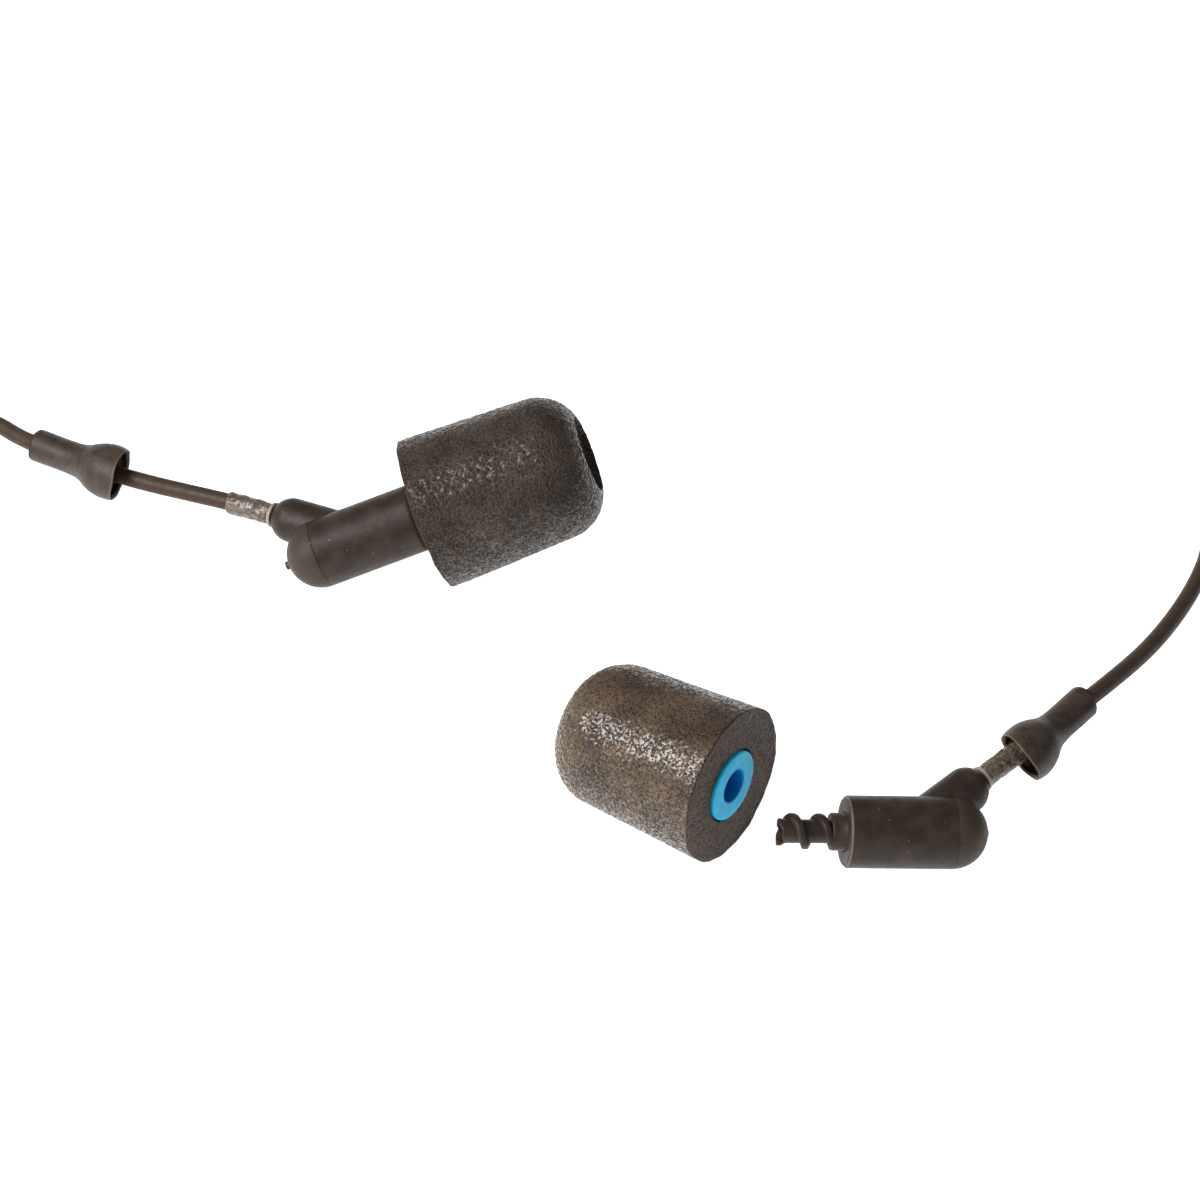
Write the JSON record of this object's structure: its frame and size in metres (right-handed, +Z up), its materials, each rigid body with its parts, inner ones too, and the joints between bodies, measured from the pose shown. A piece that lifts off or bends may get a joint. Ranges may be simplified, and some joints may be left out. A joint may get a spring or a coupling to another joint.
{
  "type": "in ear monitors",
  "caption": "Wired in-ear monitors: slim barrel housings with angled cord arms, screw-on foam ear tips, sliding strain boots, and a Y cord with splitter, slider and jack plug.",
  "frame": {"origin": "on the surface that the set lies on, under the middle of the two housings with their tips, the cord left out", "axes": "+Z up; +X from the assembled earphone towards the one whose tip is off, +Y away from the viewer"},
  "size_m": [0.1373, 0.095, 0.0162],
  "materials": {
    "housing_plastic": "satin brown-black moulded plastic",
    "boot_rubber": "matt rubber",
    "ear_foam": "open-cell memory foam",
    "core_blue": "soft satin tube",
    "cord_jacket": "smooth jacket, slightly glossy",
    "clear_glue": "crinkled adhesive",
    "damper_mesh": "fine mesh",
    "driver_can": "plain",
    "board_laminate": "laminate",
    "wire_red": "enamel",
    "wire_blue": "enamel",
    "contact_gold": "polished plating",
    "insulator_black": "moulded",
    "tie_strap": "woven strap"
  },
  "bodies": {
    "root": {"left_barrel": "housing_plastic", "left_rear_cap": "housing_plastic", "left_vent_pip": "boot_rubber", "left_cord_arm": "housing_plastic", "left_nozzle": "housing_plastic", "left_acoustic_damper": "damper_mesh", "left_driver": "driver_can", "left_driver_gasket": "boot_rubber", "left_solder_board": "board_laminate", "left_lead_wire_red": "wire_red", "left_lead_wire_blue": "wire_blue", "left_cord_seal": "clear_glue", "left_cord_sleeve": "clear_glue", "right_barrel": "housing_plastic", "right_rear_cap": "housing_plastic", "right_vent_pip": "boot_rubber", "right_cord_arm": "housing_plastic", "right_nozzle": "housing_plastic", "right_acoustic_damper": "damper_mesh", "right_driver": "driver_can", "right_driver_gasket": "boot_rubber", "right_solder_board": "board_laminate", "right_lead_wire_red": "wire_red", "right_lead_wire_blue": "wire_blue", "right_cord_seal": "clear_glue", "right_cord_sleeve": "clear_glue", "right_arm_cord": "cord_jacket", "left_arm_cord": "cord_jacket", "right_arm_lane": "cord_jacket", "right_arm_coil": "cord_jacket", "main_cord_start": "cord_jacket", "main_cord_end": "cord_jacket", "main_cord_coil": "cord_jacket", "arm_coil_tie": "tie_strap", "main_coil_tie": "tie_strap", "y_splitter": "housing_plastic", "plug_relief": "boot_rubber", "plug_grip": "boot_rubber", "plug_sleeve_contact": "contact_gold", "plug_rear_insulator": "insulator_black", "plug_ring_contact": "contact_gold", "plug_front_insulator": "insulator_black", "plug_tip_contact": "contact_gold"},
    "left_core": {"left_tip_core": "core_blue"},
    "left_foam": {"left_foam_tip": "ear_foam"},
    "right_tip": {"right_foam_tip": "ear_foam", "right_tip_core": "core_blue"},
    "left_boot": {"left_strain_boot": "boot_rubber"},
    "right_boot": {"right_strain_boot": "boot_rubber"},
    "slider": {"chin_slider": "housing_plastic"}
  },
  "joints": [
    {"name": "left_tip_unscrew", "type": "slide", "parent": "root", "child": "left_core", "axis": [0.93, 0.139, 0.3404], "range_m": [0, 0.0055]},
    {"name": "left_foam_turn", "type": "hinge", "parent": "left_core", "child": "left_foam", "pos_m": [-0.02588, 0.01414, 0.00298], "axis": [0.93, 0.139, 0.3404], "range_deg": [0, 881]},
    {"name": "right_tip_lift", "type": "slide", "parent": "root", "child": "right_tip", "axis": [0, 0, 1], "range_m": [0, 0.02]},
    {"name": "left_boot_slide", "type": "hinge", "parent": "root", "child": "left_boot", "pos_m": [0.02729, 0.15751, -0.02732], "axis": [0.0244, 0.2066, 0.9781], "range_deg": [0, 6.32]},
    {"name": "right_boot_slide", "type": "hinge", "parent": "root", "child": "right_boot", "pos_m": [0.01587, 0.00934, -0.01432], "axis": [0.3717, -0.4177, -0.8291], "range_deg": [0, 9.79]},
    {"name": "chin_slide", "type": "slide", "parent": "root", "child": "slider", "axis": [0, 1, 0], "range_m": [-0.006, 0.0025]}
  ],
  "couplings": [
    {"joint": "left_foam_turn", "follows": "left_tip_unscrew", "rad_per_m": 2792.5}
  ]
}
